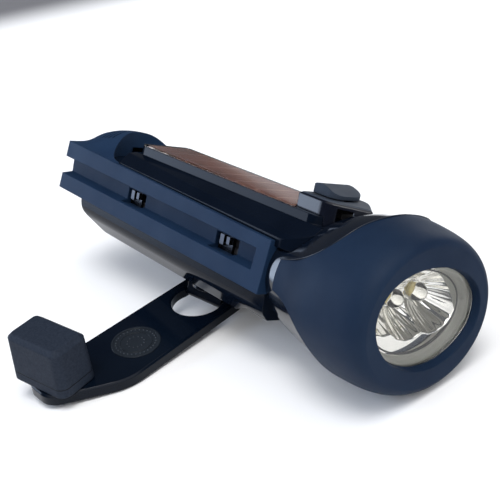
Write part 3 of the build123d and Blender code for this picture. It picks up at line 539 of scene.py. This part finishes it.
def studded_ring_tree():
    """Geometry Nodes tree: round studs set evenly on a circle."""
    tree = bpy.data.node_groups.new("studded_ring", "GeometryNodeTree")
    for name, kind in (("Studs", "NodeSocketInt"), ("Ring Radius", "NodeSocketFloat"),
                       ("Stud Radius", "NodeSocketFloat"), ("Finish", "NodeSocketMaterial")):
        tree.interface.new_socket(name, in_out="INPUT", socket_type=kind)
    tree.interface.new_socket("Geometry", in_out="OUTPUT", socket_type="NodeSocketGeometry")
    inlet = tree.nodes.new("NodeGroupInput")
    outlet = tree.nodes.new("NodeGroupOutput")
    circle = tree.nodes.new("GeometryNodeMeshCircle")
    stud = tree.nodes.new("GeometryNodeMeshUVSphere")
    stud.inputs["Segments"].default_value = 14
    stud.inputs["Rings"].default_value = 8
    spread = tree.nodes.new("GeometryNodeInstanceOnPoints")
    real = tree.nodes.new("GeometryNodeRealizeInstances")
    finish = tree.nodes.new("GeometryNodeSetMaterial")
    node_link(tree, inlet, "Studs", circle, "Vertices")
    node_link(tree, inlet, "Ring Radius", circle, "Radius")
    node_link(tree, inlet, "Stud Radius", stud, "Radius")
    node_link(tree, circle, "Mesh", spread, "Points")
    node_link(tree, stud, "Mesh", spread, "Instance")
    node_link(tree, spread, "Instances", real, "Geometry")
    node_link(tree, real, "Geometry", finish, "Geometry")
    node_link(tree, inlet, "Finish", finish, "Material")
    node_link(tree, finish, "Geometry", outlet, "Geometry")
    return tree


def ring_of_studs(tree, studs, ring_radius, stud_radius, material):
    """Plain mesh made by the stud tree for one set of sizes in mm."""
    host = bpy.data.objects.new("stud_host", bpy.data.meshes.new("stud_host"))
    bpy.context.scene.collection.objects.link(host)
    modifier = host.modifiers.new("studs", "NODES")
    modifier.node_group = tree
    values = {"Studs": studs, "Ring Radius": ring_radius * MM, "Stud Radius": stud_radius * MM,
              "Finish": material}
    for item in tree.interface.items_tree:
        if item.item_type == "SOCKET" and item.in_out == "INPUT":
            modifier[item.identifier] = values[item.name]
    graph = bpy.context.evaluated_depsgraph_get()
    mesh = bpy.data.meshes.new_from_object(host.evaluated_get(graph))
    host.modifiers.remove(modifier)
    bpy.data.objects.remove(host)
    return mesh


STUD_RINGS = (("badge_outer_studs", 30, 6.0, 0.28), ("badge_inner_studs", 12, 2.6, 0.24))


def make_badge_studs(material):
    """Two rings of small studs on the arm's round inlay."""
    tree = studded_ring_tree()
    for name, studs, ring_radius, stud_radius in STUD_RINGS:
        mesh = ring_of_studs(tree, studs, ring_radius, stud_radius, material)
        mesh.transform(ARM @ Matrix.Translation(Vector((BADGE_AT, 0, ARM_TOP - 0.02)) * MM))
        for face in mesh.polygons:
            face.use_smooth = True
        placed(name, mesh, material, "arm")


# ---------------------------------------------------------------- stage
FLOOR_HALF = 6.0
FLOOR_PALE = 0.78
FLOOR_DIM = 1.1
DIM_SIDE = (-0.78, 0.6, 0.15)


def make_stage():
    """Pale floor that turns dim on one side, far outside the picture, where the deck reflects it."""
    floor = bpy.data.meshes.new("studio_floor")
    edge = FLOOR_HALF
    corners = [(-edge, -edge, 0), (edge, -edge, 0), (edge, edge, 0), (-edge, edge, 0)]
    floor.from_pydata(corners, [], [(0, 1, 2, 3)])
    plane = bpy.data.objects.new("studio_floor", floor)
    bpy.context.scene.collection.objects.link(plane)
    made = Finish("floor_paper", Roughness=0.95, IOR=1.05)
    pale = made.ramp(made.noise(3.0), (0.2, (0.93, 0.93, 0.93)), (0.8, (0.95, 0.95, 0.95)))
    reach = made.node("ShaderNodeVectorMath", Vector=made.place)
    reach.operation = "LENGTH"
    facing = made.node("ShaderNodeVectorMath", Vector=made.place)
    facing.operation = "NORMALIZE"
    side = made.node("ShaderNodeVectorMath", Vector=facing.outputs["Vector"])
    side.operation = "DOT_PRODUCT"
    side.inputs[1].default_value = body_direction(*DIM_SIDE)
    far = made.step(reach.outputs["Value"], FLOOR_PALE, FLOOR_DIM)
    dim = made.math("MULTIPLY", far, made.step(side.outputs["Value"], 0.6, 0.9))
    made.colour(made.mix(dim, pale, (0.16, 0.16, 0.17)))
    floor.materials.append(made.material)


SKY_BASE = (0.085, 0.09, 0.10)
SKY_PANELS = (
    ((0.45, -0.45, 0.77), 0.46, 0.86, (1.42, 1.42, 1.44)),
    ((-0.79, -0.61, 0.02), 0.93, 0.985, (4.2, 5.0, 6.4)),
)


def make_sky():
    """World light by direction: dark low down, a broad soft panel in front and a window at the left."""
    world = bpy.data.worlds.new("studio")
    bpy.context.scene.world = world
    world.use_nodes = True
    tree = world.node_tree
    place = tree.nodes.new("ShaderNodeTexCoord").outputs["Generated"]
    total = None
    for direction, low, high, light in SKY_PANELS:
        aim = tree.nodes.new("ShaderNodeVectorMath")
        aim.operation = "DOT_PRODUCT"
        tree.links.new(place, aim.inputs[0])
        aim.inputs[1].default_value = body_direction(*direction)
        edge = tree.nodes.new("ShaderNodeMapRange")
        edge.interpolation_type = "SMOOTHSTEP"
        tree.links.new(aim.outputs["Value"], edge.inputs["Value"])
        edge.inputs["From Min"].default_value = low
        edge.inputs["From Max"].default_value = high
        panel = tree.nodes.new("ShaderNodeVectorMath")
        panel.operation = "MULTIPLY_ADD"
        tree.links.new(edge.outputs["Result"], panel.inputs[0])
        panel.inputs[1].default_value = light
        panel.inputs[2].default_value = SKY_BASE
        if total:
            tree.links.new(total, panel.inputs[2])
        total = panel.outputs["Vector"]
    tree.links.new(total, tree.nodes["Background"].inputs["Color"])
    tree.nodes["Background"].inputs["Strength"].default_value = 1.0


def soft_sun(name, direction, power, spread, tint=(1, 1, 1)):
    """Wide sun that shines from a body-frame direction."""
    data = bpy.data.lights.new(name, "SUN")
    data.energy = power
    data.angle = math.radians(spread)
    data.color = tint
    lamp = bpy.data.objects.new(name, data)
    bpy.context.scene.collection.objects.link(lamp)
    lamp.matrix_world = (-body_direction(*direction)).to_track_quat("-Z", "Y").to_matrix().to_4x4()


def make_suns():
    soft_sun("key_sun", (0.25, -0.55, 0.80), 1.3, 26)
    soft_sun("back_sun", (-0.35, 0.75, 0.56), 0.6, 30)


# ---------------------------------------------------------------- assembly
def paint(material, *nodes):
    """Gives CAD pieces a finish."""
    for name in nodes:
        slots = frame["nodes"][name].data.materials
        slots.clear()
        slots.append(material)


def finish_outside():
    """Finishes of everything that shows."""
    paint(soft_touch("rail_soft_touch", (0.007, 0.020, 0.050), (0.011, 0.028, 0.064)), "grip_shell")
    paint(soft_touch("boot_rubber", (0.006, 0.015, 0.036), (0.010, 0.022, 0.047), radius=0.0006), "head_boot")
    paint(soft_touch("thumb_rubber", (0.022, 0.030, 0.046), (0.034, 0.044, 0.062)), "switch_pad")
    paint(knob_finish(), "knob_cover")
    paint(switch_finish(), "switch_housing")
    paint(gloss_black("gloss_housing", (0.002, 0.004, 0.009), (0.004, 0.007, 0.014)),
          "crank_hub")
    paint(gloss_black("deck_gloss", (0.002, 0.004, 0.009), (0.004, 0.007, 0.014), 0.05, 0.11, ior=1.15),
          "top_deck")
    paint(gloss_black("neck_gloss", (0.002, 0.004, 0.009), (0.004, 0.007, 0.014), ior=1.6), "front_housing")
    paint(gloss_black("belly_gloss", (0.002, 0.004, 0.009), (0.004, 0.007, 0.014), ior=1.2), "lower_housing")
    paint(gloss_black("arm_gloss", (0.001, 0.003, 0.008), (0.003, 0.006, 0.012), 0.1, 0.18, ior=1.26),
          "crank_arm")
    paint(gloss_black("badge_inlay", (0.010, 0.013, 0.018), (0.016, 0.021, 0.028), 0.16, 0.26, 0.0001),
          "arm_badge")
    paint(clear("lens_clear", (0.985, 0.99, 0.985), 0.01, 1.3), "lens")
    paint(clear("panel_clear", (0.97, 0.93, 0.9), 0.05, 1.05), "panel_cover")
    paint(solar_finish(), "solar_cell")
    paint(turned_metal("latch_spring", (0.05, 0.052, 0.06)), "rail_latches")


def finish_inside():
    """Finishes of what the housing holds, seen through its openings and when it is taken apart."""
    steel = turned_metal("plated_steel", (0.62, 0.62, 0.63))
    paint(steel, "housing_screws", "battery_contacts", "idler_axle", "drive_screw", "fold_pin",
          "knob_axle", "rotor_shaft")
    paint(turned_metal("sintered_bronze", (0.52, 0.34, 0.15), 0.35, 0.5), "hub_bushing")
    paint(turned_metal("laminated_iron", (0.18, 0.18, 0.19), 0.4, 0.6), "stator_core")
    paint(turned_metal("magnet_ferrite", (0.08, 0.08, 0.09), 0.5, 0.65), "rotor_magnet")
    paint(wound_copper(), "stator_coils")
    paint(circuit_board(), "main_board", "led_board")
    paint(cell_sleeve(), "battery_cells")
    paint(moulded("board_black", (0.012, 0.012, 0.013), (0.024, 0.024, 0.026)), "board_parts", "contact_block")
    paint(moulded("gear_acetal", (0.66, 0.65, 0.59), (0.76, 0.75, 0.69)),
          "drive_gear", "idler_gear", "rotor_pinion")
    paint(moulded("inner_moulding", (0.03, 0.03, 0.034), (0.055, 0.055, 0.06)),
          "battery_tray", "gearbox_plate", "generator_cap", "switch_slider", "knob_core")


def make_details():
    """Pieces that take over from plain solids or finish their edges."""
    # The cream plate finish is a painted reflection: matte cream in place of the plated plate's mirror image of
    # the pale floor.
    make_reflector(plated("reflector_plating", (0.80, 0.785, 0.745)),
                   moulded("lamp_plate_painted_reflection", (0.34, 0.335, 0.29), (0.42, 0.415, 0.37), 0.25, 0.4))
    chip = Finish("phosphor_chip", Roughness=0.6)
    chip.colour(chip.ramp(chip.noise(1500.0), (0.3, (0.80, 0.62, 0.20)), (0.7, (0.90, 0.78, 0.34))))
    make_lamps_in_bowls(clear("lamp_epoxy", (0.98, 0.97, 0.92), 0.02, 1.35), chip.material)
    make_lens_gasket(moulded("gasket_rubber", (0.02, 0.02, 0.02), (0.04, 0.04, 0.045)))
    make_boot_piping(gloss_black("piping_gloss", (0.006, 0.010, 0.02), (0.012, 0.018, 0.03), 0.12, 0.2, 0.0001))
    make_badge_studs(gloss_black("badge_stud", (0.02, 0.026, 0.034), (0.03, 0.038, 0.05), 0.16, 0.24, 0.0001))


bpy.context.scene.view_settings.view_transform = "Standard"
make_camera()
make_stage()
make_sky()
make_suns()
finish_outside()
finish_inside()
make_details()
